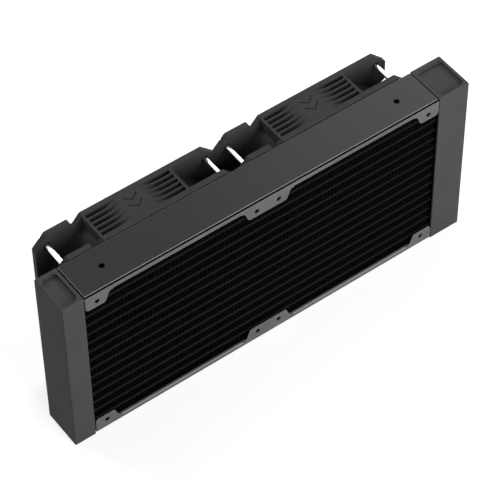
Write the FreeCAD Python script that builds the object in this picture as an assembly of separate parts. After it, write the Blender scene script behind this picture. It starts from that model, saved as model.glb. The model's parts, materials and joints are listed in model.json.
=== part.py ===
import FreeCAD, Part
import math
import os

# Liquid cooler: a two-fan radiator standing on its long narrow side.
# X runs along the radiator, Y from its open front to the fans, Z up.
# The origin is the middle of the base. Every length is in millimetres.

# Radiator
radiator_depth = 27.0
left_tank_length = 13.8
right_tank_length = 21.3
tank_seam = 0.5
tank_wall = 1.0
tank_outer_wall = 2.0
tank_end_wall = 3.6
tank_edge_radius = 0.7
tank_seam_radius = 0.4
pocket_rim = 2.0
pocket_depth = 2.4
pocket_radius = 3.0
pocket_edge_radius = 0.5
pocket_floor_radius = 0.6
header_thickness = 1.5
baffle_thickness = 1.6

# Coolant ports on the wide tank
port_radius = 5.72
port_boss_radius = 8.6
port_length = 7.0
port_spacing = 70.0

# Core of flat tubes and folded fins
tube_count = 14
tube_thickness = 2.0
tube_wall = 0.35
tube_nose = 0.6
tube_reach = 1.5
core_inset = 1.6
fin_fold_pitch = 5.0
fin_sheet = 0.3
fin_end_gap = 1.0

# Side brackets and the covers over them
sheet = 0.6
flange_top_drop = 1.4
flange_bend_radius = 1.0
flange_edge_radius = 0.2
tab_reach = 10.35
tab_slope = 3.0
tab_margin = 5.3
tab_radius = 2.0
end_corner_radius = 2.5
cover_front_gap = 0.35
cover_rear_gap = 0.05
cover_end_gap = 0.4
cover_height = 3.8
cover_sheet = 0.8
cover_lip = 1.2
cover_edge_radius = 0.4
cover_hole_radius = 1.75
cover_hole_inset = 20.0

# Fans
fan_size = 120.0
fan_depth = 25.0
fan_hole_inset = 7.5
fan_hole_radius = 2.15
frame_flange = 3.6
frame_chamfer = 8.3
frame_corner_radius = 1.2
frame_edge_radius = 0.4
notch_start = 23.0
notch_tip = 25.6
notch_end = 31.2
notch_depth = 6.0
notch_radius = 0.8
duct_margin = 2.5
duct_wall = 2.9
intake_lip = 1.8
intake_lip_depth = 3.0
vent_start = 30.7
vent_end_wall = 1.6
vent_sink = 1.8
vent_count = 5
vent_slot = 2.8
chevron_half_width = 4.4
chevron_rise = 3.6
chevron_stroke = 1.1
chevron_depth = 0.5
chevron_tips = (8.7, 14.5)

# Fan motor and impeller
base_radius = 21.5
base_floor = 1.6
base_rim = 1.2
base_height = 4.0
strut_count = 4
strut_width = 4.0
strut_start = 33.0
strut_middle = 16.8
strut_sweep = 24.0
hub_radius = 20.0
hub_wall = 1.8
hub_lift = 0.6
hub_recess = 1.4
hub_edge = 1.6
hub_boss_radius = 4.0
hub_boss_length = 2.8
blade_count = 9
blade_tip_gap = 1.0
blade_thickness = 1.5
blade_edge = 0.7
blade_root_sink = 2.5
blade_tip_excess = 2.0
blade_chords = (17.0, 23.0, 30.0)
blade_staggers = (47.0, 34.0, 25.0)
blade_cambers = (2.0, 2.2, 2.4)
blade_leads = (0.0, 4.0, 15.0)
shaft_radius = 1.5
shaft_clearance = 0.03
shaft_seat = 1.1
thrust_gap = 0.1
seat_clearance = 0.02
yoke_wall = 0.9
yoke_lift = 0.6
magnet_wall = 2.0
magnet_length = 11.4
air_gap = 0.6
sleeve_wall = 2.0
bearing_tube_wall = 1.0
bearing_tube_length = 16.8
sleeve_end_gap = 0.4
groove_depth = 0.4
clip_thickness = 0.4
clip_radius = 2.7
clip_opening = 1.6
clip_gap = 0.2
board_thickness = 1.2
board_gap = 0.5
pole_count = 4
stator_height = 8.0
stator_lift = 4.7
stator_hub_wall = 2.2
pole_arm_width = 3.4
pole_shoe = 1.8
pole_slot = 3.0
coil_build = 1.2
coil_gap = 0.3

# Screws that hold the fans
screw_radius = 1.5
bracket_hole_radius = 1.6
screw_head_radius = 3.0
screw_head_height = 2.2
screw_head_round = 1.0

# How far a cut runs past the face that it opens, and how closely faces are matched
overrun = 1.0
match = 0.01

# Places worked out from the sizes
height = fan_size
core_length = 2 * fan_size
overall_depth = radiator_depth + fan_depth + screw_head_height
middle_x = (left_tank_length - right_tank_length) / 2
middle_z = height / 2
front_y = -overall_depth / 2
core_depth = radiator_depth - 2 * core_inset
core_half = core_length / 2
seam_x = core_half + tank_seam
half_height = height / 2
web_z = half_height - cover_height - sheet
tube_pitch = (2 * web_z + tube_thickness) / (tube_count + 1)
fin_height = tube_pitch - tube_thickness
hole_z = fan_size / 2 - fan_hole_inset
duct_radius = fan_size / 2 - duct_margin
duct_outer = duct_radius + duct_wall
vent_half_width = fan_size / 2 - vent_start
blade_tip_radius = duct_radius - blade_tip_gap


def at(x, y, z):
    """Point measured from the line between the fans, the front face and mid height."""
    return FreeCAD.Vector(middle_x + x, front_y + y, middle_z + z)


def block(x0, x1, y0, y1, z0, z1):
    """Box between two corners given in the same frame as at()."""
    return Part.makeBox(x1 - x0, y1 - y0, z1 - z0, at(x0, y0, z0))


def rod(radius, x, z, y0, y1):
    """Round bar along Y."""
    return Part.makeCylinder(radius, y1 - y0, at(x, y0, z), FreeCAD.Vector(0, 1, 0))


def ring(outer, inner, x, z, y0, y1):
    """Round sleeve along Y."""
    return rod(outer, x, z, y0, y1).cut(rod(inner, x, z, y0 - overrun, y1 + overrun))


def rounded_wire(corners, place):
    """Closed outline with an arc at each corner; a corner is (u, v, radius)."""
    count = len(corners)
    starts = []
    ends = []
    mids = []
    for i in range(count):
        u, v, radius = corners[i]
        here = FreeCAD.Vector(u, v, 0)
        back = FreeCAD.Vector(corners[i - 1][0], corners[i - 1][1], 0) - here
        ahead = FreeCAD.Vector(corners[(i + 1) % count][0], corners[(i + 1) % count][1], 0) - here
        back.normalize()
        ahead.normalize()
        half = back.getAngle(ahead) / 2
        trim = radius / math.tan(half)
        bisector = back + ahead
        bisector.normalize()
        centre = here + bisector * (radius / math.sin(half))
        starts.append(here + back * trim)
        ends.append(here + ahead * trim)
        mids.append(centre - bisector * radius)
    edges = []
    for i in range(count):
        if corners[i][2] > 0:
            edges.append(Part.Arc(place(starts[i]), place(mids[i]), place(ends[i])).toShape())
        edges.append(Part.LineSegment(place(ends[i]), place(starts[(i + 1) % count])).toShape())
    return Part.Wire(edges)


def upright_plate(corners, x, z, y0, y1):
    """Plate with a rounded outline in the XZ plane and its thickness along Y."""
    wire = rounded_wire(corners, lambda p: at(x + p.x, y0, z + p.y))
    return Part.Face(wire).extrude(FreeCAD.Vector(0, y1 - y0, 0))


def level_plate(corners, x, y, z0, z1):
    """Plate with a rounded outline in the XY plane and its thickness along Z."""
    wire = rounded_wire(corners, lambda p: at(x + p.x, y + p.y, z0))
    return Part.Face(wire).extrude(FreeCAD.Vector(0, 0, z1 - z0))


def rectangle(half_u, half_v, radius):
    """Corners of a rounded rectangle about its own centre."""
    return [
        (-half_u, -half_v, radius),
        (half_u, -half_v, radius),
        (half_u, half_v, radius),
        (-half_u, half_v, radius),
    ]


def flip_z(shape):
    """Mirror image about mid height."""
    return shape.mirror(at(0, 0, 0), FreeCAD.Vector(0, 0, 1))


def turned(shape, degrees, x, z):
    """Copy turned about the line along Y through (x, z)."""
    copy = shape.copy()
    copy.rotate(at(x, 0, z), FreeCAD.Vector(0, 1, 0), degrees)
    return copy


def fuse_all(shapes):
    """One clean solid from shapes that meet."""
    return shapes[0].multiFuse(shapes[1:]).removeSplitter()


def save(shape, name):
    """Write one piece to its own file."""
    shape.exportStep(os.path.join("parts", name + ".step"))


# End tanks: moulded boxes, open towards the core, with a pocket in each end
def end_tank(length, side):
    inner = seam_x
    outer = seam_x + length
    shell = block(inner, outer, 0, radiator_depth, -half_height, half_height)
    edges = []
    for edge in shell.Edges:
        box = edge.BoundBox
        if box.XMax > middle_x + outer - match:
            edges.append(edge)
        elif box.XLength > length / 2:
            edges.append(edge)
    shell = shell.makeFillet(tank_edge_radius, edges)
    seam = [edge for edge in shell.Edges if edge.BoundBox.XMax < middle_x + inner + match]
    shell = shell.makeFillet(tank_seam_radius, seam)
    cavity = block(
        inner - overrun,
        outer - tank_outer_wall,
        tank_wall,
        radiator_depth - tank_wall,
        -half_height + tank_end_wall,
        half_height - tank_end_wall,
    )
    pocket = level_plate(
        rectangle(length / 2 - pocket_rim, radiator_depth / 2 - pocket_rim, pocket_radius),
        (inner + outer) / 2,
        radiator_depth / 2,
        half_height - pocket_depth,
        half_height + overrun,
    )
    shell = shell.cut(pocket).cut(flip_z(pocket))
    rims = []
    floors = []
    for edge in shell.Edges:
        box = edge.BoundBox
        depth = min(abs(height - box.ZMax), abs(box.ZMin))
        within = box.XMin > middle_x + inner + pocket_rim - match
        within = within and box.XMax < middle_x + outer - pocket_rim + match
        if within and box.ZLength < match and depth < match:
            rims.append(edge)
        elif within and box.ZLength < match and abs(depth - pocket_depth) < match:
            floors.append(edge)
    shell = shell.makeFillet(pocket_edge_radius, rims)
    tank = shell.makeFillet(pocket_floor_radius, floors).cut(cavity)
    if side < 0:
        tank = tank.mirror(at(0, 0, 0), FreeCAD.Vector(1, 0, 0))
    return tank


def port_cylinder(radius, z, x0, x1):
    """Round bar along X at mid depth."""
    start = at(x0, radiator_depth / 2, z)
    return Part.makeCylinder(radius, x1 - x0, start, FreeCAD.Vector(1, 0, 0))


def ported_tank():
    tank = end_tank(right_tank_length, 1)
    outer = seam_x + right_tank_length
    for z in (-port_spacing / 2, port_spacing / 2):
        boss = port_cylinder(port_boss_radius, z, outer - port_length, outer - tank_outer_wall / 2)
        tank = tank.fuse(boss)
        tank = tank.cut(port_cylinder(port_radius, z, outer - port_length - overrun, outer + overrun))
    return tank.removeSplitter()


# Tube places and the header plates that they pass through
tube_places = [(i - (tube_count - 1) / 2) * tube_pitch for i in range(tube_count)]


def tube_body(z, grow, x0, x1):
    """Flat bar with chamfered noses, standing for a tube's outside."""
    half = tube_thickness / 2 + grow
    near = core_inset - grow
    far = core_inset + core_depth + grow
    corners = [
        (near + tube_nose, -half),
        (far - tube_nose, -half),
        (far, -half + tube_nose),
        (far, half - tube_nose),
        (far - tube_nose, half),
        (near + tube_nose, half),
        (near, half - tube_nose),
        (near, -half + tube_nose),
    ]
    points = [at(x0, y, z + v) for y, v in corners]
    face = Part.Face(Part.makePolygon(points + points[:1]))
    return face.extrude(FreeCAD.Vector(x1 - x0, 0, 0))


def header_plate(side):
    reach = half_height - tank_end_wall - seat_clearance
    x0 = side * seam_x
    x1 = side * (seam_x + header_thickness)
    y0 = tank_wall + seat_clearance
    y1 = radiator_depth - tank_wall - seat_clearance
    plate = block(min(x0, x1), max(x0, x1), y0, y1, -reach, reach)
    slots = []
    for z in tube_places:
        slots.append(tube_body(z, seat_clearance, min(x0, x1) - overrun, max(x0, x1) + overrun))
    return plate.cut(Part.makeCompound(slots))


def tank_baffle():
    x0 = seam_x + header_thickness
    x1 = seam_x + right_tank_length - tank_outer_wall
    y0 = tank_wall + seat_clearance
    y1 = radiator_depth - tank_wall - seat_clearance
    half = baffle_thickness / 2
    return block(x0, x1 - seat_clearance, y0, y1, -half, half)


def coolant_tube(z):
    end = seam_x + header_thickness + tube_reach
    outside = tube_body(z, 0, -end, end)
    inset = tube_nose + tube_wall
    bore = block(
        -end - overrun,
        end + overrun,
        core_inset + inset,
        core_inset + core_depth - inset,
        z - tube_thickness / 2 + tube_wall,
        z + tube_thickness / 2 - tube_wall,
    )
    return outside.cut(bore)


# Folded fin: a zigzag sheet whose crests touch the tubes above and below
def fin_strip(z):
    span = core_length - 2 * fin_end_gap
    folds = max(2, round(span / fin_fold_pitch))
    step = span / folds / 2
    rise = fin_height / 2
    slant = math.atan2(fin_height, step)
    upright_sheet = fin_sheet / math.cos(slant)
    upper = []
    lower = []
    for i in range(2 * folds + 1):
        x = -span / 2 + i * step
        upper.append((x, rise if i % 2 else upright_sheet - rise))
        lower.append((x, rise - upright_sheet if i % 2 else -rise))
    outline = upper + lower[::-1]
    points = [at(x, core_inset, z + v) for x, v in outline]
    face = Part.Face(Part.makePolygon(points + points[:1]))
    return face.extrude(FreeCAD.Vector(0, core_depth, 0))


# Side bracket: a web along the outer fins, with a flange at the front and the back
def bracket_flange(y0):
    top = half_height - flange_top_drop
    tab = top - tab_reach
    end = core_half
    near = fan_hole_inset
    far = fan_size - fan_hole_inset
    inner = near + tab_margin
    outer = far - tab_margin
    right_half = [
        (inner, tab, tab_radius),
        (inner + tab_slope, web_z, tab_radius),
        (outer - tab_slope, web_z, tab_radius),
        (outer, tab, tab_radius),
        (end, tab, end_corner_radius),
        (end, top, 0),
    ]
    left_half = [(-u, v, r) for u, v, r in right_half[::-1]]
    plate = upright_plate(left_half + right_half, 0, 0, y0, y0 + sheet)
    open_y = front_y if y0 < sheet else front_y + y0 + sheet
    outer_edges = []
    for edge in plate.Edges:
        box = edge.BoundBox
        if abs(box.YMin - open_y) < match and abs(box.YMax - open_y) < match:
            outer_edges.append(edge)
    plate = plate.makeFillet(flange_edge_radius, outer_edges)
    for x in (-far, -near, near, far):
        plate = plate.cut(rod(bracket_hole_radius, x, hole_z, y0 - overrun, y0 + sheet + overrun))
    return plate


def bend_corner(x0, x1, y, into):
    """What the bend leaves out of the square corner between web and flange; into is 1 or -1."""
    radius = flange_bend_radius
    far = y + into * radius
    corner = block(x0, x1, min(y, far), max(y, far), web_z, web_z + radius)
    axis = at(x0 - overrun, far, web_z + radius)
    length = x1 - x0 + 2 * overrun
    return corner.cut(Part.makeCylinder(radius, length, axis, FreeCAD.Vector(1, 0, 0)))


def side_bracket():
    front = bracket_flange(0)
    back = bracket_flange(radiator_depth - sheet)
    web = block(-core_half, core_half, 0, radiator_depth, web_z, web_z + sheet)
    bracket = fuse_all([front, back, web])
    x0 = fan_hole_inset + tab_margin + tab_slope + tab_radius
    x1 = fan_size - x0
    corners = []
    for y, into in ((0, 1), (radiator_depth, -1)):
        corners.append(bend_corner(x0, x1, y, into))
        corners.append(bend_corner(-x1, -x0, y, into))
    return bracket.cut(corners)


# Cover: a lid with rounded edges that overhangs its own walls, which stand on the bracket's web
def side_cover():
    y0 = sheet + cover_front_gap
    y1 = radiator_depth - sheet - cover_rear_gap
    half = core_half - cover_end_gap
    low = web_z + sheet
    under = half_height - cover_sheet
    lid = block(-half, half, y0, y1, under, half_height)
    edges = [edge for edge in lid.Edges if edge.BoundBox.ZMin > height - match]
    lid = lid.makeFillet(cover_edge_radius, edges)
    walls = block(-half + cover_lip, half - cover_lip, y0 + cover_lip, y1 - cover_lip, low, under)
    inset = cover_lip + cover_sheet
    inside = block(-half + inset, half - inset, y0 + inset, y1 - inset, low - overrun, under)
    cover = lid.fuse(walls.cut(inside))
    hole_x = core_half - cover_hole_inset
    for x in (-hole_x, hole_x):
        start = at(x, radiator_depth / 2, low)
        cover = cover.cut(Part.makeCylinder(cover_hole_radius, height, start))
    return cover


# Fan frame: two square flanges joined by a round duct and four vented walls
def fan_outline():
    half = fan_size / 2
    cut = half - frame_chamfer
    side = [
        (-cut, half, frame_corner_radius),
        (notch_start - half, half, frame_corner_radius),
        (notch_tip - half, half - notch_depth, notch_radius),
        (notch_end - half, half, frame_corner_radius),
        (cut, half, frame_corner_radius),
    ]
    corners = []
    for _ in range(4):
        corners += side
        side = [(v, -u, r) for u, v, r in side]
    return corners


def vented_wall(x, y0):
    """Wall at the top of a fan, with a row of slots each side of its middle."""
    top = fan_size / 2
    y1 = y0 + fan_depth
    half = vent_half_width
    low = math.sqrt(duct_outer**2 - half**2) - vent_sink
    inset = frame_flange / 2
    wall = block(x - half, x + half, y0 + inset, y1 - inset, low, top)
    span = fan_depth - 2 * frame_flange
    rib = (span - vent_count * vent_slot) / (vent_count - 1)
    inner = half - vent_end_wall
    slots = []
    for i in range(vent_count):
        start = y0 + frame_flange + i * (vent_slot + rib)
        slots.append(block(x - inner, x + inner, start, start + vent_slot, 0, top + overrun))
    return wall.cut(Part.makeCompound(slots))


def chevron(x, y):
    """Cut for one arrow that points to the radiator, engraved in the top wall."""
    half = chevron_half_width
    rise = chevron_rise
    stroke = chevron_stroke
    outline = [
        (-half, y + rise),
        (0, y),
        (half, y + rise),
        (half, y + rise + stroke),
        (0, y + stroke),
        (-half, y + rise + stroke),
    ]
    floor = fan_size / 2 - chevron_depth
    points = [at(x + u, v, floor) for u, v in outline]
    face = Part.Face(Part.makePolygon(points + points[:1]))
    return face.extrude(FreeCAD.Vector(0, 0, 2 * chevron_depth))


def polar(radius, degrees, x, y):
    """Point at an angle from straight up, in a fan's own plane."""
    angle = math.radians(degrees)
    return at(x + radius * math.sin(angle), y, radius * math.cos(angle))


def strut(x, y0, degrees):
    """Curved arm from the motor base to the duct."""
    inner = base_radius - base_rim / 2
    outer = duct_radius + duct_wall / 2
    mid = (inner + outer) / 2
    sides = []
    for sign in (-1, 1):
        shift = [math.degrees(sign * strut_width / 2 / r) for r in (inner, mid, outer)]
        sides.append([
            polar(inner, degrees + shift[0], x, y0),
            polar(mid, degrees + strut_middle + shift[1], x, y0),
            polar(outer, degrees + strut_sweep + shift[2], x, y0),
        ])
    near, far = sides
    edges = [
        Part.Arc(near[0], near[1], near[2]).toShape(),
        Part.LineSegment(near[2], far[2]).toShape(),
        Part.Arc(far[2], far[1], far[0]).toShape(),
        Part.LineSegment(far[0], near[0]).toShape(),
    ]
    return Part.Face(Part.Wire(edges)).extrude(FreeCAD.Vector(0, base_height, 0))


def frame_plate(x, y0, y1, open_y):
    """Flange of a fan, with a soft edge round its open face."""
    plate = upright_plate(fan_outline(), x, 0, y0, y1)
    edges = []
    for edge in plate.Edges:
        box = edge.BoundBox
        if box.YLength < match and abs(box.YMin - front_y - open_y) < match:
            edges.append(edge)
    return plate.makeFillet(frame_edge_radius, edges)


def fan_frame(x):
    y0 = radiator_depth
    y1 = y0 + fan_depth
    half = fan_size / 2
    near = frame_plate(x, y0, y0 + frame_flange, y0)
    far = frame_plate(x, y1 - frame_flange, y1, y1)
    inset = frame_flange / 2
    square = block(x - half, x + half, y0 + inset, y1 - inset, -half, half)
    duct = rod(duct_outer, x, 0, y0, y1).common(square)
    wall = vented_wall(x, y0)
    walls = [turned(wall, 90 * i, x, 0) for i in range(4)]
    shell = near.multiFuse([far, duct] + walls)
    shell = shell.cut(rod(duct_radius, x, 0, y0 - overrun, y1 + overrun))
    lip = Part.makeCone(
        duct_radius,
        duct_radius + intake_lip,
        intake_lip_depth,
        at(x, y1 - intake_lip_depth, 0),
        FreeCAD.Vector(0, 1, 0),
    )
    cuts = [lip]
    for u in (-hole_z, hole_z):
        for v in (-hole_z, hole_z):
            cuts.append(rod(fan_hole_radius, x + u, v, y0 - overrun, y1 + overrun))
    for tip in chevron_tips:
        cuts.append(chevron(x, y0 + tip))
    shell = shell.cut(cuts)
    tube_outer = shaft_radius + shaft_clearance + sleeve_wall + seat_clearance + bearing_tube_wall
    base = rod(base_radius, x, 0, y0, y0 + base_floor)
    rim = ring(base_radius, base_radius - base_rim, x, 0, y0, y0 + base_height)
    tube_top = y0 + base_floor + bearing_tube_length
    tube = ring(tube_outer, tube_outer - bearing_tube_wall, x, 0, y0, tube_top)
    struts = [strut(x, y0, 360 * i / strut_count + strut_start) for i in range(strut_count)]
    return fuse_all([shell, base, rim, tube] + struts)


# Impeller: a cup-shaped hub with swept blades
def blade_section(radius, form, y_mid, x):
    """Thin cambered section on the plane at this height above the fan's axis."""
    chord, stagger, camber, lead = form
    angle = math.radians(stagger)
    along = (math.cos(angle), math.sin(angle))
    across = (-along[1], along[0])

    def point(s, n):
        u = lead + s * along[0] + n * across[0]
        y = y_mid + s * along[1] + n * across[1]
        return at(x + u, y, radius)

    half = chord / 2
    edge = blade_edge / 2
    body = blade_thickness / 2
    top = Part.Arc(point(-half, edge), point(0, camber + body), point(half, edge)).toShape()
    nose = Part.LineSegment(point(half, edge), point(half, -edge)).toShape()
    under = Part.Arc(point(half, -edge), point(0, camber - body), point(-half, -edge)).toShape()
    tail = Part.LineSegment(point(-half, -edge), point(-half, edge)).toShape()
    return Part.Wire([top, nose, under, tail])


def impeller(x):
    y0 = radiator_depth
    hub_low = y0 + base_height + hub_lift
    hub_top = y0 + fan_depth - hub_recess
    y_mid = (hub_low + hub_top) / 2
    inner = hub_radius - hub_wall
    hub = rod(hub_radius, x, 0, hub_low, hub_top)
    rims = [e for e in hub.Edges if e.BoundBox.YMin > front_y + hub_top - match]
    hub = hub.makeFillet(hub_edge, rims)
    hub = hub.cut(rod(inner, x, 0, hub_low - overrun, hub_top - hub_wall))
    boss = rod(hub_boss_radius, x, 0, hub_top - hub_wall - hub_boss_length, hub_top - hub_wall)
    radii = (
        hub_radius - blade_root_sink,
        (hub_radius + blade_tip_radius) / 2,
        blade_tip_radius + blade_tip_excess,
    )
    sections = []
    for i, radius in enumerate(radii):
        form = (blade_chords[i], blade_staggers[i], blade_cambers[i], blade_leads[i])
        sections.append(blade_section(radius, form, y_mid, x))
    blade = Part.makeLoft(sections, True)
    limit = ring(blade_tip_radius, hub_radius - hub_wall / 2, x, 0, y0, y0 + fan_depth)
    blade = blade.common(limit)
    blades = [turned(blade, 360 * i / blade_count, x, 0) for i in range(blade_count)]
    wheel = hub.multiFuse([boss] + blades)
    boss_low = hub_top - hub_wall - hub_boss_length
    bore = rod(shaft_radius, x, 0, boss_low - overrun, hub_top - hub_wall + shaft_seat)
    return wheel.cut(bore).removeSplitter()


# Motor pieces, from the shaft outwards
def fan_motor(x):
    floor = radiator_depth + base_floor
    hub_low = radiator_depth + base_height + hub_lift
    ceiling = radiator_depth + fan_depth - hub_recess - hub_wall
    tip = floor + thrust_gap
    groove_low = tip + clip_gap
    shaft = rod(shaft_radius, x, 0, tip, ceiling + shaft_seat - seat_clearance)
    groove = ring(
        shaft_radius + overrun,
        shaft_radius - groove_depth,
        x,
        0,
        groove_low,
        groove_low + clip_thickness,
    )
    shaft = shaft.cut(groove)
    clip = ring(
        clip_radius,
        shaft_radius - groove_depth + seat_clearance,
        x,
        0,
        groove_low,
        groove_low + clip_thickness,
    )
    mouth = block(
        x - clip_opening / 2,
        x + clip_opening / 2,
        groove_low - overrun,
        groove_low + clip_thickness + overrun,
        0,
        clip_radius + overrun,
    )
    clip = clip.cut(mouth)
    sleeve_bore = shaft_radius + shaft_clearance
    sleeve_outer = sleeve_bore + sleeve_wall
    sleeve_low = groove_low + clip_thickness + clip_gap
    sleeve_top = floor + bearing_tube_length - sleeve_end_gap
    sleeve = ring(sleeve_outer, sleeve_bore, x, 0, sleeve_low, sleeve_top)
    tube_outer = sleeve_outer + seat_clearance + bearing_tube_wall

    yoke_outer = hub_radius - hub_wall - seat_clearance
    yoke_inner = yoke_outer - yoke_wall
    yoke_low = hub_low + yoke_lift
    yoke = rod(yoke_outer, x, 0, yoke_low, ceiling)
    yoke = yoke.cut(rod(yoke_inner, x, 0, yoke_low - overrun, ceiling - yoke_wall))
    yoke = yoke.cut(rod(hub_boss_radius + seat_clearance, x, 0, yoke_low, ceiling + overrun))
    magnet_outer = yoke_inner - seat_clearance
    magnet_inner = magnet_outer - magnet_wall
    magnet = ring(magnet_outer, magnet_inner, x, 0, yoke_low, yoke_low + magnet_length)

    board_inner = tube_outer + board_gap
    board_outer = base_radius - base_rim - board_gap
    board = ring(board_outer, board_inner, x, 0, floor, floor + board_thickness)

    core_low = floor + stator_lift
    core_top = core_low + stator_height
    pole_radius = magnet_inner - air_gap
    hub_outer = tube_outer + seat_clearance + stator_hub_wall
    pieces = [rod(hub_outer, x, 0, core_low, core_top)]
    shoe = ring(pole_radius, pole_radius - pole_shoe, x, 0, core_low, core_top)
    gap = block(
        x - pole_slot / 2,
        x + pole_slot / 2,
        core_low - overrun,
        core_top + overrun,
        0,
        pole_radius + overrun,
    )
    arm = block(
        x - pole_arm_width / 2,
        x + pole_arm_width / 2,
        core_low,
        core_top,
        0,
        pole_radius - pole_shoe / 2,
    )
    coil_start = hub_outer + coil_gap
    coil_half = pole_arm_width / 2 + coil_build
    coil_end = math.sqrt((pole_radius - pole_shoe - coil_gap) ** 2 - coil_half**2)
    coil = block(
        x - coil_half,
        x + coil_half,
        core_low - coil_build,
        core_top + coil_build,
        coil_start,
        coil_end,
    )
    hole = block(
        x - pole_arm_width / 2 - seat_clearance,
        x + pole_arm_width / 2 + seat_clearance,
        core_low - seat_clearance,
        core_top + seat_clearance,
        coil_start - overrun,
        coil_end + overrun,
    )
    coil = coil.cut(hole)
    coils = []
    for i in range(pole_count):
        turn = 360 * i / pole_count
        shoe = shoe.cut(turned(gap, turn + 180 / pole_count, x, 0))
        pieces.append(turned(arm, turn, x, 0))
        coils.append(turned(coil, turn, x, 0))
    stator = fuse_all(pieces + [shoe])
    middle = rod(tube_outer + seat_clearance, x, 0, core_low - overrun, core_top + overrun)
    stator = stator.cut(middle)
    return {
        "shaft": shaft,
        "retaining_clip": clip,
        "bearing_sleeve": sleeve,
        "rotor_yoke": yoke,
        "magnet_ring": magnet,
        "circuit_board": board,
        "stator_core": stator,
        "windings": Part.makeCompound(coils),
    }


# Screws through both fan flanges into the rear flange of a bracket
def fan_screw(x, z):
    tip = radiator_depth - sheet
    seat = radiator_depth + fan_depth
    shank = rod(screw_radius, x, z, tip, seat)
    head = rod(screw_head_radius, x, z, seat, seat + screw_head_height)
    top = front_y + seat + screw_head_height
    rims = [e for e in head.Edges if e.BoundBox.YMin > top - match]
    head = head.makeFillet(screw_head_round, rims)
    return shank.fuse(head).removeSplitter()


def build():
    os.makedirs("parts", exist_ok=True)
    save(end_tank(left_tank_length, -1), "end_tank_left")
    save(ported_tank(), "end_tank_right")
    save(header_plate(-1), "header_plate_left")
    save(header_plate(1), "header_plate_right")
    save(tank_baffle(), "tank_baffle")
    bracket = side_bracket()
    save(bracket, "side_bracket_top")
    save(flip_z(bracket), "side_bracket_bottom")
    cover = side_cover()
    save(cover, "side_cover_top")
    save(flip_z(cover), "side_cover_bottom")
    for i, z in enumerate(tube_places):
        save(coolant_tube(z), f"coolant_tube_{i + 1:02d}")
    for i in range(tube_count + 1):
        save(fin_strip((i - tube_count / 2) * tube_pitch), f"fin_strip_{i + 1:02d}")
    screws = []
    for side, x in (("left", -fan_size / 2), ("right", fan_size / 2)):
        save(fan_frame(x), f"{side}_fan_frame")
        save(impeller(x), f"{side}_fan_impeller")
        for name, shape in fan_motor(x).items():
            save(shape, f"{side}_fan_{name}")
        for u in (-hole_z, hole_z):
            for v in (-hole_z, hole_z):
                screws.append(fan_screw(x + u, v))
    save(Part.makeCompound(screws), "fan_screws")


build()
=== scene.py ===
"""Liquid cooler radiator with two fans: finishes, fine pieces and a small studio."""

import json
import math

import bpy
import numpy as np
from bpy.props import FloatProperty, FloatVectorProperty, IntProperty, PointerProperty
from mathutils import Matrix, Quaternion, Vector


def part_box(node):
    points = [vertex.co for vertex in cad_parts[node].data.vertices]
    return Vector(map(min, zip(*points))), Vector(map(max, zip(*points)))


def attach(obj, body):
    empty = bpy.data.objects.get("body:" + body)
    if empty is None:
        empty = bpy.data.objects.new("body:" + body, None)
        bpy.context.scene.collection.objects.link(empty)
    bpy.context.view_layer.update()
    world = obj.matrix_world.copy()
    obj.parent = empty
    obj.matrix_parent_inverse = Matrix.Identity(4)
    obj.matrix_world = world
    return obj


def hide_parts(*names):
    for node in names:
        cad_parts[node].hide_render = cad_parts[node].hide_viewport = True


bl_info = {
    "name": "Liquid Cooler Radiator",
    "version": (1, 0, 0),
    "blender": (4, 5, 0),
    "location": "View3D > Sidebar > Cooler",
    "description": "Folded fins, screws, port threads, finishes and a small studio",
    "category": "Object",
}

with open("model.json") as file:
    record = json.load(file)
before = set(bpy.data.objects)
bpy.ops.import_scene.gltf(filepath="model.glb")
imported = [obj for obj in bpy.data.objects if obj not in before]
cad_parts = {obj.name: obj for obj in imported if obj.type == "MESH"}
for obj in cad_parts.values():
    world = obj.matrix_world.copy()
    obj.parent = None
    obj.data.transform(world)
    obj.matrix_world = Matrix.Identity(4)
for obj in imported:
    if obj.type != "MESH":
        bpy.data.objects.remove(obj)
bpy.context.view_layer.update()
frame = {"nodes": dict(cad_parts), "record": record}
nodes = frame["nodes"]
mounts = {mount["name"]: mount for mount in frame["record"]["mounts"]}
MM = 0.001

# Width of one cloud in a coat of paint, counted in grains.
CLOUD_GRAINS = 60
# Depth by which a grain waves the roughness up and down.
ROUGHNESS_SWAY = 0.05
# Largest part of the normal on a flat face, and where an edge is rounded enough for the painted
# highlight.
FLAT_NORMAL, ROUND_NORMAL = 0.98, 0.88
# Upward part of the normal on an upright surface, and where a slope is steep enough for the
# painted highlight.
UPRIGHT_NORMAL, SLOPED_NORMAL = 0.1, 0.3
# Length of one period of the wave node at scale 1.
WAVE_PERIOD = 0.31416
# Grain of the faint cloud over stacked sheets and wire.
METAL_CLOUD = 0.4 * MM
# What the sheet and its bend take of a bracket's depth at each side of its channel.
BRACKET_SIDE = 1.6 * MM


def linear(code):
    """Six sRGB hex digits to linear red, green, blue and alpha."""
    value = np.array([int(code[i : i + 2], 16) for i in (0, 2, 4)]) / 255
    value = np.where(value <= 0.04045, value / 12.92, ((value + 0.055) / 1.055) ** 2.4)
    return (*value.tolist(), 1.0)


def length_property(name, description, millimetres):
    """Size in metres, shown as a length."""
    return FloatProperty(
        name=name, description=description, default=millimetres * MM, precision=5, unit="LENGTH"
    )


def colour_property(name, description, code):
    """Colour given as sRGB hex digits and kept as linear values."""
    return FloatVectorProperty(
        name=name, description=description, default=linear(code), size=4, subtype="COLOR"
    )


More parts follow.
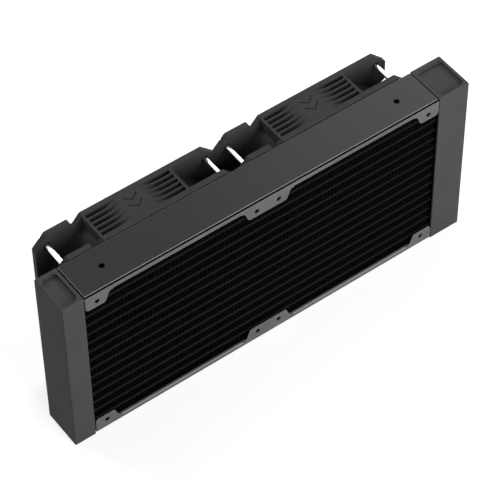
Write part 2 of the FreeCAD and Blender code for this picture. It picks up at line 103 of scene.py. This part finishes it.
class CoolerSizes(bpy.types.PropertyGroup):
    """Sizes of the pieces that are made here."""

    fin_period: length_property("Fin period", "One full fold of a fin, up and down", 2.6)
    fin_foil: length_property("Fin foil", "Thickness of the folded foil", 0.16)
    fin_steps: IntProperty(name="Fin steps", description="Points along one full fold", default=20)
    head_radius: length_property("Head radius", "Radius of a fan screw's head", 3.0)
    head_height: length_property("Head height", "Height of a fan screw's head", 2.2)
    head_round: length_property("Head round", "Rounding at the top of the head", 1.0)
    recess_depth: length_property("Recess depth", "Depth of the cross in the head", 1.2)
    recess_width: length_property("Recess width", "Width of each slot of the cross", 1.0)
    recess_reach: length_property("Recess reach", "Radius where the cross ends", 1.8)
    shank_radius: length_property("Shank radius", "Radius over a fan screw's thread", 1.5)
    thread_root: length_property("Thread root", "Radius under a fan screw's thread", 1.22)
    thread_pitch: length_property("Thread pitch", "Thread pitch of a fan screw", 0.5)
    thread_length: length_property("Thread length", "Length of thread at a screw's tip", 5.0)
    port_pitch: length_property("Port pitch", "Thread pitch of a coolant port", 1.337)
    port_ridge: length_property("Port ridge", "Height of the thread in a coolant port", 0.3)


class CoolerColours(bpy.types.PropertyGroup):
    """Colours of the finishes."""

    tank: colour_property("Tanks", "Powder paint on the end tanks", "474748")
    cover: colour_property("Covers", "Powder paint on the covers", "171718")
    bracket: colour_property("Brackets", "Satin paint on the bracket sheets", "5b5b5c")
    # Painted highlight: lighter colour laid on the rounded edges of covers and brackets, standing
    # in for the light they catch.
    painted_edge_highlight: colour_property("Painted edge highlights", "Painted highlight on the edges of covers and brackets", "848484")
    # Painted highlight: lighter colour laid on the tanks' rounded edges, standing in for the light
    # they catch.
    painted_tank_highlight: colour_property("Painted tank edge highlights", "Painted highlight on the tanks' edges", "505051")
    core: colour_property("Core", "Paint on tubes and header plates", "060606")
    foil: colour_property("Fins", "Paint on the fin foil", "050505")
    plastic: colour_property("Fan frames", "Moulded plastic of the frames", "3b3b3c")
    blades: colour_property("Blades", "Moulded plastic of the impellers", "272728")
    screw: colour_property("Screws", "Bright plating of the screws", "f4f4f4")
    floor: colour_property("Floor", "Studio floor", "c4c4c4")


def add_node(tree, kind, inputs=None, **settings):
    """One node with its settings, its fixed values and its links."""
    made = tree.nodes.new(kind)
    for name, value in settings.items():
        setattr(made, name, value)
    for key, value in (inputs or {}).items():
        if isinstance(value, bpy.types.NodeSocket):
            tree.links.new(value, made.inputs[key])
        else:
            made.inputs[key].default_value = value
    return made


def finish_tree(name):
    """A new material and its empty node tree."""
    material = bpy.data.materials.new(name)
    material.use_nodes = True
    material.node_tree.nodes.clear()
    return material, material.node_tree


def grained(
    name,
    colour,
    *,
    rough,
    grain,
    bump,
    contrast=0.12,
    specular=0.5,
    metallic=0.0,
    edge_highlight=None,
    channel_colour=None,
):
    """Even finish with a fine grain: colour, roughness and height waver together.

    grain is the size of one grain and bump its height, in metres. The edge colour is a painted
    highlight, laid on the rounded edges of a piece whose faces lie along the axes: where no part
    of the normal is near 1 and it points partly up or down, so bores and upright corners keep
    their paint. The channel colour comes with the y of the channel's middle and how far it reaches
    from it, and is laid inside that channel.
    A second, broad noise clouds the colour, as the thickness of a real coat does.
    """
    material, tree = finish_tree(name)
    place = add_node(tree, "ShaderNodeTexCoord").outputs["Object"]
    fine = add_node(
        tree,
        "ShaderNodeTexNoise",
        {"Vector": place, "Scale": 1 / grain, "Detail": 2.0, "Roughness": 0.55},
    ).outputs["Fac"]
    broad = add_node(
        tree,
        "ShaderNodeTexNoise",
        {"Vector": place, "Scale": 1 / (CLOUD_GRAINS * grain), "Detail": 3.0},
    ).outputs["Fac"]
    both = add_node(tree, "ShaderNodeMath", {0: fine, 1: broad}, operation="ADD").outputs[0]
    # The sum of the two noises lies mostly between 0.6 and 1.4.
    tint = add_node(
        tree, "ShaderNodeMapRange", {"Value": both, "From Min": 0.6, "From Max": 1.4}
    ).outputs[0]
    dark = [c * (1 - contrast) for c in colour[:3]] + [1.0]
    light = [min(1.0, c * (1 + contrast)) for c in colour[:3]] + [1.0]
    paint = add_node(
        tree, "ShaderNodeMix", {0: tint, 6: dark, 7: light}, data_type="RGBA"
    ).outputs[2]
    gloss = add_node(
        tree,
        "ShaderNodeMapRange",
        {"Value": fine, "To Min": rough - ROUGHNESS_SWAY, "To Max": rough + ROUGHNESS_SWAY},
    ).outputs[0]
    relief = add_node(
        tree, "ShaderNodeBump", {"Height": fine, "Strength": 0.6, "Distance": bump}
    ).outputs[0]
    # Painted highlight: rounded edges that face partly up or down take a lighter colour, standing
    # in for the light they catch.
    if edge_highlight:
        normal = add_node(tree, "ShaderNodeNewGeometry").outputs["Normal"]
        steep = add_node(tree, "ShaderNodeVectorMath", {0: normal}, operation="ABSOLUTE")
        x, y, z = add_node(tree, "ShaderNodeSeparateXYZ", {0: steep.outputs[0]}).outputs
        most = add_node(tree, "ShaderNodeMath", {0: x, 1: y}, operation="MAXIMUM").outputs[0]
        most = add_node(tree, "ShaderNodeMath", {0: most, 1: z}, operation="MAXIMUM").outputs[0]
        edge = add_node(
            tree,
            "ShaderNodeMapRange",
            {"Value": most, "From Min": FLAT_NORMAL, "From Max": ROUND_NORMAL},
        ).outputs[0]
        slope = add_node(
            tree,
            "ShaderNodeMapRange",
            {"Value": z, "From Min": UPRIGHT_NORMAL, "From Max": SLOPED_NORMAL},
        ).outputs[0]
        highlight_mask = add_node(tree, "ShaderNodeMath", {0: edge, 1: slope}, operation="MULTIPLY")
        paint = add_node(
            tree, "ShaderNodeMix", {0: highlight_mask.outputs[0], 6: paint, 7: edge_highlight}, data_type="RGBA"
        ).outputs[2]
    if channel_colour:
        inner, middle, reach = channel_colour
        y = add_node(tree, "ShaderNodeSeparateXYZ", {0: place}).outputs[1]
        away = add_node(tree, "ShaderNodeMath", {0: y, 1: middle}, operation="SUBTRACT").outputs[0]
        away = add_node(tree, "ShaderNodeMath", {0: away}, operation="ABSOLUTE").outputs[0]
        inside = add_node(tree, "ShaderNodeMath", {0: away, 1: reach}, operation="LESS_THAN")
        paint = add_node(
            tree, "ShaderNodeMix", {0: inside.outputs[0], 6: paint, 7: inner}, data_type="RGBA"
        ).outputs[2]
    shader = add_node(
        tree,
        "ShaderNodeBsdfPrincipled",
        {
            "Base Color": paint,
            "Roughness": gloss,
            "Metallic": metallic,
            "Specular IOR Level": specular,
            "Normal": relief,
        },
    )
    add_node(tree, "ShaderNodeOutputMaterial", {"Surface": shader.outputs[0]})
    return material


def layered(name, colours, *, rough, axis, spacing, relief_height):
    """Metal with fine lines across an axis, as stacked sheets or laid wire have.

    The lines are a sine along the axis with one period per spacing, in metres.
    """
    material, tree = finish_tree(name)
    place = add_node(tree, "ShaderNodeTexCoord").outputs["Object"]
    wave = add_node(
        tree,
        "ShaderNodeTexWave",
        {"Vector": place, "Scale": WAVE_PERIOD / spacing},
        bands_direction=axis,
    ).outputs["Fac"]
    cloud = add_node(
        tree, "ShaderNodeTexNoise", {"Vector": place, "Scale": 1 / METAL_CLOUD, "Detail": 2.0}
    ).outputs["Fac"]
    lines = add_node(tree, "ShaderNodeMath", {0: wave, 1: cloud}, operation="MULTIPLY").outputs[0]
    dark, light = colours
    tint = add_node(
        tree, "ShaderNodeMix", {0: lines, 6: dark, 7: light}, data_type="RGBA"
    ).outputs[2]
    relief = add_node(
        tree, "ShaderNodeBump", {"Height": wave, "Strength": 0.5, "Distance": relief_height}
    ).outputs[0]
    shader = add_node(
        tree,
        "ShaderNodeBsdfPrincipled",
        {"Base Color": tint, "Roughness": rough, "Metallic": 1.0, "Normal": relief},
    )
    add_node(tree, "ShaderNodeOutputMaterial", {"Surface": shader.outputs[0]})
    return material


def seen_strength(tree, unseen, seen):
    """Strength that is one value for the eye, reflections and glass, and another for light."""
    path = add_node(tree, "ShaderNodeLightPath").outputs
    any_of = path["Is Camera Ray"]
    for kind in ("Is Glossy Ray", "Is Transmission Ray"):
        any_of = add_node(
            tree, "ShaderNodeMath", {0: any_of, 1: path[kind]}, operation="MAXIMUM"
        ).outputs[0]
    return add_node(
        tree, "ShaderNodeMapRange", {"Value": any_of, "To Min": unseen, "To Max": seen}
    ).outputs[0]


def dress(material, *names):
    """Gives CAD nodes a finish through their objects' material slots."""
    for name in names:
        for slot in nodes[name].material_slots:
            slot.material = material


def grid_faces(rows, columns, around=False):
    """Quads between neighbouring points of a grid, stored row by row; around closes each row."""
    index = np.arange(rows * columns).reshape(rows, columns)
    if around:
        index = np.concatenate((index, index[:, :1]), axis=1)
    corners = (index[:-1, :-1], index[:-1, 1:], index[1:, 1:], index[1:, :-1])
    return np.stack(corners, axis=-1).reshape(-1, 4)


def copies(points, faces, places):
    """The same surface at several places: moved points, and faces counted on for each copy."""
    moved = points.reshape(1, -1, 3) + places[:, None]
    count = np.arange(len(places))[:, None, None] * moved.shape[1]
    return moved.reshape(-1, 3), (faces + count).reshape(-1, faces.shape[1])


def make_piece(name, points, faces, material, slot, replaced=(), smooth_angle=35.0):
    """Mesh object from points and lists of faces, riding on the fixed body.

    Edges sharper than smooth_angle, in degrees, stay sharp.
    """
    mesh = bpy.data.meshes.new(name)
    corners = [face for part in faces for face in part.tolist()]
    mesh.from_pydata(points.reshape(-1, 3), [], corners)
    mesh.validate()
    mesh.shade_smooth()
    mesh.set_sharp_from_angle(angle=math.radians(smooth_angle))
    mesh.materials.append(material)
    piece = bpy.data.objects.new(name, mesh)
    bpy.context.collection.objects.link(piece)
    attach(piece, "root")
    if replaced:
        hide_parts(*replaced)


def folded_foil(low, high, sizes):
    """Folded foil between two corners.

    The middle line is z = a * atan(k sin(2 pi x / period)) / atan(k): a wave with upright walls
    and small round crests, and k is its squareness. Each side is that line moved half the foil
    along its normal, and the band between the sides runs from the front to the back.
    """
    squareness = 5.0
    foil = sizes.fin_foil
    length = high[0] - low[0]
    folds = round(length / sizes.fin_period)
    t = np.linspace(0, 1, folds * sizes.fin_steps + 1)
    reach = (high[2] - low[2] - foil) / 2
    x = low[0] + foil + (length - 2 * foil) * t
    wave = np.arctan(squareness * np.sin(2 * math.pi * folds * t)) / math.atan(squareness)
    z = (low[2] + high[2]) / 2 + reach * wave
    run = np.stack((np.gradient(x), np.gradient(z)), axis=-1)
    run /= np.linalg.norm(run, axis=1, keepdims=True)
    off = np.stack((-run[:, 1], run[:, 0]), axis=-1) * foil / 2
    line = np.stack((x, z), axis=-1)
    loop = np.concatenate((line + off, (line - off)[::-1]))
    loop[:, 1] = np.clip(loop[:, 1], low[2], high[2])
    count = len(loop)
    points = np.zeros((2, count, 3))
    points[:, :, 0] = loop[:, 0]
    points[:, :, 2] = loop[:, 1]
    points[0, :, 1] = low[1]
    points[1, :, 1] = high[1]
    skin = grid_faces(2, count, around=True)[:, ::-1]
    near = np.arange(count // 2 - 1)
    far = count - 1 - near
    front = np.stack((near, far, far - 1, near + 1), axis=-1)
    return points, [skin, front[:, ::-1], front + count]


def fan_screw(low, high, sizes):
    """Pan-head screw along Y, as rings about its axis from the cross in the head to the tip.

    Each ring has a radius and a height. Inside the head the height drops by the recess depth
    where the point lies near one of two crossed lines; along the thread the radius is the root's
    plus a triangle wave of height against the turn.
    """
    sides, top_rings, dome_rings, rings_per_pitch = 48, 22, 6, 8
    innermost = 0.02  # Share of the flat top's radius where its first ring lies
    recess_wall = 0.1 * MM  # Width of the slope along each side of a slot
    recess_slope = 0.7  # Share of a slot's reach over which its floor rises
    under_head = 0.1 * MM  # Rounding between the head and the shank
    run_out = 0.3 * MM  # Where the thread fades into the shank
    tip_length = 0.4 * MM  # Taper past the end of the thread
    tip_taper = 0.8  # Radius of the tip as a share of the thread's root
    centre = 0.05 * MM  # Radius of the last ring, inside the tip's flat face
    turn = np.linspace(0, 2 * math.pi, sides, endpoint=False)
    seat = high - sizes.head_height
    flat = sizes.head_radius - sizes.head_round
    bend = np.linspace(0, math.pi / 2, dome_rings + 1)[1:]
    top = [np.linspace(innermost, 1.0, top_rings) * flat, np.full(top_rings, high)]
    dome = [flat + sizes.head_round * np.sin(bend), high - sizes.head_round * (1 - np.cos(bend))]
    under = [[sizes.head_radius, sizes.shank_radius], [seat, seat]]
    start = low + sizes.thread_length
    plain = [[sizes.shank_radius] * 2, [seat - under_head, start + run_out]]
    rings = int(sizes.thread_length / sizes.thread_pitch * rings_per_pitch)
    thread = [np.full(rings, sizes.shank_radius), np.linspace(start, low + tip_length, rings)]
    tip = [[sizes.thread_root * tip_taper, centre], [low, low]]
    radius, height = np.concatenate((top, dome, under, plain, thread, tip), axis=1)[:, :, None]
    radius = radius + 0 * turn
    height = height + 0 * turn
    across = radius * np.minimum(abs(np.sin(turn)), abs(np.cos(turn)))
    wing = np.clip((sizes.recess_width / 2 - across) / recess_wall, 0, 1)
    fall = np.clip((sizes.recess_reach - radius) / (recess_slope * sizes.recess_reach), 0, 1)
    height[:top_rings] -= (sizes.recess_depth * wing * fall)[:top_rings]
    thread_end = len(radius) - len(tip[0])
    rows = slice(thread_end - rings, thread_end)
    saw = (height[rows] / sizes.thread_pitch - turn / (2 * math.pi)) % 1
    ridge = 1 - abs(2 * saw - 1)
    radius[rows] = sizes.thread_root + (sizes.shank_radius - sizes.thread_root) * ridge
    return np.stack((radius * np.sin(turn), height, radius * np.cos(turn)), axis=-1)


def end_fans(points):
    """Adds a point in the middle of the first and the last ring, and the triangles to it."""
    rows, columns = points.shape[:2]
    flat = points.reshape(-1, 3)
    ring = np.arange(columns)
    after = np.roll(ring, -1)
    last = (rows - 1) * columns
    first_fan = np.stack((np.full(columns, len(flat)), after, ring), axis=-1)
    last_fan = np.stack((np.full(columns, len(flat) + 1), ring + last, after + last), axis=-1)
    flat = np.concatenate((flat, points[:1].mean(axis=1), points[-1:].mean(axis=1)))
    return flat, np.concatenate((first_fan, last_fan))


def port_thread(radius, length, sizes):
    """Threaded sleeve along X, closed on itself: an inner skin, and an outer one in the wall.

    The inner radius is the bore less a triangle wave of x / pitch - turn, faded out at both ends.
    """
    sides, rings_per_pitch = 64, 16
    turn = np.linspace(0, 2 * math.pi, sides, endpoint=False)
    rows = int(length / sizes.port_pitch * rings_per_pitch)
    x = np.linspace(-length / 2, length / 2, rows)[:, None] + 0 * turn
    saw = (x / sizes.port_pitch - turn / (2 * math.pi)) % 1
    fade = np.clip((length / 2 - abs(x)) / sizes.port_pitch, 0, 1)
    inner = radius - sizes.port_ridge * (1 - abs(2 * saw - 1)) * fade
    sunk = 0.05 * MM
    outer = np.full((2, sides), radius + sunk)
    ring_x = np.concatenate((x, x[-1:], x[:1]))
    ring_r = np.concatenate((inner, outer))
    return np.stack((ring_x, ring_r * np.cos(turn), ring_r * np.sin(turn)), axis=-1)


class COOLER_OT_casing(bpy.types.Operator):
    """Finish the end tanks, covers and brackets"""

    bl_idname = "cooler.casing"
    bl_label = "Casing finishes"

    def execute(self, context):
        colours = context.scene.cooler_colours
        # Powder paint on extruded aluminium: a fine even grit, half matt, with a painted
        # highlight, a lighter colour laid along the rounded edges. Its grit of about 0.1 mm is
        # drawn at 0.35 mm, so that it shows.
        tank = grained(
            "powder_paint_on_tank",
            colours.tank,
            rough=0.5,
            grain=0.35 * MM,
            bump=0.012 * MM,
            specular=0.02,
            edge_highlight=colours.painted_tank_highlight,
        )
        dress(tank, "end_tank_left", "end_tank_right")
        # The same paint on the cover sheet: darker and smoother, so that a soft sheen runs along
        # it, with a painted highlight, a lighter colour laid along the bent edges.
        cover = grained(
            "powder_paint_on_cover",
            colours.cover,
            rough=0.42,
            grain=0.35 * MM,
            bump=0.01 * MM,
            specular=0.23,
            edge_highlight=colours.painted_edge_highlight,
        )
        dress(cover, "side_cover_top", "side_cover_bottom")
        # Thin satin paint on stamped sheet: lighter, with a mottle where the metal's grain shows
        # through, and a painted highlight, a lighter colour, along the rounded edges. That grain
        # of about 0.2 mm is drawn at 0.6 mm, so that it shows. Inside the channel the sheet takes
        # the core's black colour.
        low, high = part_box("side_bracket_top")
        middle = (low[1] + high[1]) / 2
        reach = (high[1] - low[1]) / 2 - BRACKET_SIDE
        sheet = grained(
            "satin_paint_on_sheet",
            colours.bracket,
            rough=0.5,
            grain=0.6 * MM,
            bump=0.02 * MM,
            contrast=0.35,
            specular=0.1,
            edge_highlight=colours.painted_edge_highlight,
            channel_colour=(colours.core, middle, reach),
        )
        dress(sheet, "side_bracket_top", "side_bracket_bottom")
        return {"FINISHED"}


class COOLER_OT_core(bpy.types.Operator):
    """Fold the fins and finish the tubes and header plates"""

    bl_idname = "cooler.core"
    bl_label = "Core"

    def execute(self, context):
        sizes = context.scene.cooler_sizes
        colours = context.scene.cooler_colours
        # Black dip paint on brazed aluminium: matt and a little uneven.
        core = grained(
            "dip_paint_on_tubes",
            colours.core,
            rough=0.35,
            grain=0.6 * MM,
            bump=0.02 * MM,
            contrast=0.2,
            specular=0.028,
        )
        tubes = [name for name in nodes if name.startswith("coolant_tube")]
        dress(core, "header_plate_left", "header_plate_right", "tank_baffle", *tubes)
        # The same paint on thin foil, where it lies thicker and shines less.
        foil = grained(
            "dip_paint_on_foil",
            colours.foil,
            rough=0.6,
            grain=0.6 * MM,
            bump=0.01 * MM,
            contrast=0.2,
            specular=0.06,
        )
        for name in sorted(nodes):
            if name.startswith("fin_strip"):
                piece = name.replace("fin_strip", "folded_fin")
                shape = folded_foil(*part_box(name), sizes)
                make_piece(piece, *shape, foil, "painted_core", [name])
        return {"FINISHED"}


class COOLER_OT_fans(bpy.types.Operator):
    """Finish the fan frames and impellers"""

    bl_idname = "cooler.fans"
    bl_label = "Fan frames and impellers"

    def execute(self, context):
        colours = context.scene.cooler_colours
        # Glass-filled PBT moulded in a spark-eroded tool: matt, with a fine leathery grit. That
        # grit of about 0.1 mm is drawn at 0.4 mm, so that it shows.
        frame_finish = grained(
            "moulded_pbt_frame",
            colours.plastic,
            rough=0.65,
            grain=0.4 * MM,
            bump=0.015 * MM,
            specular=0.06,
        )
        dress(frame_finish, "left_fan_frame", "right_fan_frame")
        # The same plastic from a polished tool: smoother, with a soft sheen along each blade and
        # the least flow marks, drawn at 0.5 mm.
        blades = grained(
            "moulded_pbt_blades",
            colours.blades,
            rough=0.35,
            grain=0.5 * MM,
            bump=0.006 * MM,
        )
        dress(blades, "left_fan_impeller", "right_fan_impeller")
        return {"FINISHED"}


class COOLER_OT_motors(bpy.types.Operator):
    """Finish the motor pieces"""

    bl_idname = "cooler.motors"
    bl_label = "Motors"

    def execute(self, context):
        # Ground and hardened steel of the shaft and its clip: bright, with a tight highlight.
        steel = grained(
            "ground_steel",
            linear("c4c4c6"),
            rough=0.25,
            grain=0.3 * MM,
            bump=0.002 * MM,
            contrast=0.05,
            metallic=1.0,
        )
        # Zinc-plated, deep-drawn steel of the yoke: greyer, softer and faintly cloudy.
        zinc = grained(
            "zinc_plated_yoke",
            linear("a9abb0"),
            rough=0.35,
            grain=0.8 * MM,
            bump=0.004 * MM,
            contrast=0.1,
            metallic=1.0,
        )
        # Sintered ferrite of the magnet: dark grey ceramic, matt.
        ferrite = grained(
            "sintered_ferrite",
            linear("2f2f33"),
            rough=0.7,
            grain=0.5 * MM,
            bump=0.02 * MM,
            contrast=0.2,
        )
        # Porous sintered bronze of the sleeve, soaked in oil: brown gold and half matt, with dark
        # pores.
        bronze = grained(
            "sintered_bronze",
            linear("a87a45"),
            rough=0.4,
            grain=0.3 * MM,
            bump=0.01 * MM,
            contrast=0.2,
            metallic=1.0,
        )
        # Stamped silicon steel, stacked sheet on sheet: grey, with a fine dark line at each sheet
        # of 0.5 mm.
        stack = layered(
            "stacked_silicon_steel",
            (linear("5c5c60"), linear("8a8a90")),
            rough=0.4,
            axis="Y",
            spacing=0.5 * MM,
            relief_height=0.05 * MM,
        )
        # Enamelled copper wire wound round each pole: glossy red-brown ridges, one for each wire
        # of 0.3 mm.
        copper = layered(
            "enamelled_copper",
            (linear("6e2f12"), linear("c96a2e")),
            rough=0.3,
            axis="Y",
            spacing=0.3 * MM,
            relief_height=0.08 * MM,
        )
        # Green solder mask on glass laminate: glossy, with a faint weave below.
        mask = grained(
            "solder_mask",
            linear("10482a"),
            rough=0.25,
            grain=1.0 * MM,
            bump=0.004 * MM,
            contrast=0.15,
        )
        for side in ("left", "right"):
            dress(steel, f"{side}_fan_shaft", f"{side}_fan_retaining_clip")
            dress(zinc, f"{side}_fan_rotor_yoke")
            dress(ferrite, f"{side}_fan_magnet_ring")
            dress(bronze, f"{side}_fan_bearing_sleeve")
            dress(stack, f"{side}_fan_stator_core")
            dress(copper, f"{side}_fan_windings")
            dress(mask, f"{side}_fan_circuit_board")
        return {"FINISHED"}


class COOLER_OT_screws(bpy.types.Operator):
    """Cut the eight fan screws with their threads and crosses"""

    bl_idname = "cooler.screws"
    bl_label = "Fan screws"

    def execute(self, context):
        sizes = context.scene.cooler_sizes
        low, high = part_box("fan_screws")
        rings = fan_screw(low[1], high[1], sizes)
        points, ends = end_fans(rings)
        side = grid_faces(*rings.shape[:2], around=True)
        # Bright nickel plating on steel: nearly white, with the studio mirrored along the shank.
        plating = grained(
            "bright_nickel_plating",
            context.scene.cooler_colours.screw,
            rough=0.22,
            grain=0.4 * MM,
            bump=0.001 * MM,
            contrast=0.04,
            metallic=1.0,
        )
        half = mounts["left_front_holes"]["dims"]["spacing_x_mm"] * MM / 2
        middles = [mounts[f"{side}_front_holes"]["pos_m"] for side in ("left", "right")]
        corners = [(u, v) for u in (-half, half) for v in (-half, half)]
        places = np.array([(x + u, 0, z + v) for x, _, z in middles for u, v in corners])
        moved, side = copies(points, side[:, ::-1], places)
        ends = copies(points, ends[:, ::-1], places)[1]
        make_piece(
            "fan_screw_set",
            moved,
            [side, ends],
            plating,
            "screw_steel",
            ["fan_screws"],
            smooth_angle=40.0,
        )
        return {"FINISHED"}


class COOLER_OT_ports(bpy.types.Operator):
    """Cut the threads in the two coolant ports"""

    bl_idname = "cooler.ports"
    bl_label = "Port threads"

    def execute(self, context):
        sizes = context.scene.cooler_sizes
        # Machined thread under a thin mist of the tank's paint: lighter and smoother than the
        # tank, so that its ridges catch the light.
        finish = grained(
            "machined_port_thread",
            context.scene.cooler_colours.bracket,
            rough=0.35,
            grain=0.3 * MM,
            bump=0.004 * MM,
        )
        for level in ("lower", "upper"):
            mount = mounts[f"{level}_coolant_port"]
            dims = mount["dims"]
            rings = port_thread(dims["r_mm"] * MM, dims["length_mm"] * MM, sizes)
            rings = np.concatenate((rings, rings[:1])) + np.array(mount["pos_m"])
            faces = grid_faces(*rings.shape[:2], around=True)
            make_piece(f"{level}_port_thread", rings, [faces], finish, "painted_casing")
        return {"FINISHED"}


class COOLER_OT_stage(bpy.types.Operator):
    """Set the floor, the lamps, the world and the camera"""

    bl_idname = "cooler.stage"
    bl_label = "Studio"

    def execute(self, context):
        scene = context.scene
        scene.view_settings.view_transform = "Standard"
        reach = 6.0
        sunk = 0.2 * MM
        corners = ((-reach, -reach), (reach, -reach), (reach, reach), (-reach, reach))
        mesh = bpy.data.meshes.new("studio_floor")
        mesh.from_pydata([(x, y, -sunk) for x, y in corners], [], [(0, 1, 2, 3)])
        floor = bpy.data.objects.new("studio_floor", mesh)
        scene.collection.objects.link(floor)
        # Matt paper sweep: white to the eye and in reflections, and its glow lights nothing. It
        # glows less round the object, where it takes a shadow, and fully past the lamps' reach.
        material, tree = finish_tree("paper_sweep")
        place = add_node(tree, "ShaderNodeTexCoord").outputs["Object"]
        away = add_node(tree, "ShaderNodeVectorMath", {0: place}, operation="LENGTH")
        near, far = 0.35, 0.8
        near_glow, far_glow = 0.66, 1.0
        rise = add_node(
            tree,
            "ShaderNodeMapRange",
            {
                "Value": away.outputs["Value"],
                "From Min": near,
                "From Max": far,
                "To Min": near_glow,
                "To Max": far_glow,
            },
        )
        glow = seen_strength(tree, unseen=0.0, seen=rise.outputs[0])
        shader = add_node(
            tree,
            "ShaderNodeBsdfPrincipled",
            {
                "Base Color": scene.cooler_colours.floor,
                "Roughness": 0.9,
                "Emission Color": (1, 1, 1, 1),
                "Emission Strength": glow,
            },
        )
        add_node(tree, "ShaderNodeOutputMaterial", {"Surface": shader.outputs[0]})
        mesh.materials.append(material)

        # White room: full strength to the eye and in reflections, and a weak fill as a light.
        world = bpy.data.worlds.new("studio")
        scene.world = world
        world.use_nodes = True
        tree = world.node_tree
        tree.nodes.clear()
        fill = seen_strength(tree, unseen=0.1, seen=1.0)
        sky = add_node(tree, "ShaderNodeBackground", {"Color": (1, 1, 1, 1), "Strength": fill})
        add_node(tree, "ShaderNodeOutputWorld", {"Surface": sky.outputs[0]})

        # Name, place, width and power of each square lamp. The top faces mirror the back lamp
        # towards the camera, the top lamp draws the vents, and the wide front lamp is soft enough
        # to leave no glare. All three face the middle of the object.
        middle = Vector((0, 0, 0.06))
        for name, place, width, power in (
            ("back_lamp", (0.6, 0.45, 0.72), 0.4, 2.5),
            ("top_lamp", (-0.3, 0.7, 0.7), 0.5, 5.0),
            ("front_lamp", (0.15, -0.7, 0.4), 0.7, 7.5),
        ):
            lamp = bpy.data.lights.new(name, "AREA")
            lamp.size = width
            lamp.energy = power
            held = bpy.data.objects.new(name, lamp)
            held.location = place
            held.rotation_mode = "QUATERNION"
            held.rotation_quaternion = (middle - Vector(place)).to_track_quat("-Z", "Y")
            scene.collection.objects.link(held)

        # Camera solved on the photo: its place, the point it looks at, and its roll in degrees.
        camera_place = Vector((-0.53645, -0.7462, 1.1377))
        target = Vector((-0.00681, -0.0141, 0.06433))
        camera_roll = -0.695
        camera = bpy.data.cameras.new("camera")
        camera.lens = 179.7
        camera.sensor_width = 36.0
        held = bpy.data.objects.new("camera", camera)
        held.location = camera_place
        held.rotation_mode = "QUATERNION"
        aim = (target - camera_place).to_track_quat("-Z", "Y")
        held.rotation_quaternion = aim @ Quaternion((0, 0, 1), math.radians(camera_roll))
        scene.collection.objects.link(held)
        scene.camera = held
        return {"FINISHED"}


class COOLER_PT_panel(bpy.types.Panel):
    """Lists the cooler's operators"""

    bl_idname = "COOLER_PT_panel"
    bl_label = "Liquid cooler"
    bl_space_type = "VIEW_3D"
    bl_region_type = "UI"
    bl_category = "Cooler"

    def draw(self, context):
        """One button for each operator."""
        for step in STEPS:
            self.layout.operator(step.bl_idname)


STEPS = (
    COOLER_OT_casing,
    COOLER_OT_core,
    COOLER_OT_fans,
    COOLER_OT_motors,
    COOLER_OT_screws,
    COOLER_OT_ports,
    COOLER_OT_stage,
)


def register():
    """Add the classes and the two groups of properties to Blender."""
    for entry in (CoolerSizes, CoolerColours, *STEPS, COOLER_PT_panel):
        bpy.utils.register_class(entry)
    bpy.types.Scene.cooler_sizes = PointerProperty(type=CoolerSizes)
    bpy.types.Scene.cooler_colours = PointerProperty(type=CoolerColours)


def unregister():
    """Take away what register adds."""
    del bpy.types.Scene.cooler_sizes
    del bpy.types.Scene.cooler_colours
    for entry in (COOLER_PT_panel, *reversed(STEPS), CoolerColours, CoolerSizes):
        bpy.utils.unregister_class(entry)


def main():
    register()
    for step in STEPS:
        group, name = step.bl_idname.split(".")
        getattr(getattr(bpy.ops, group), name)()


if __name__ == "__main__":
    main()
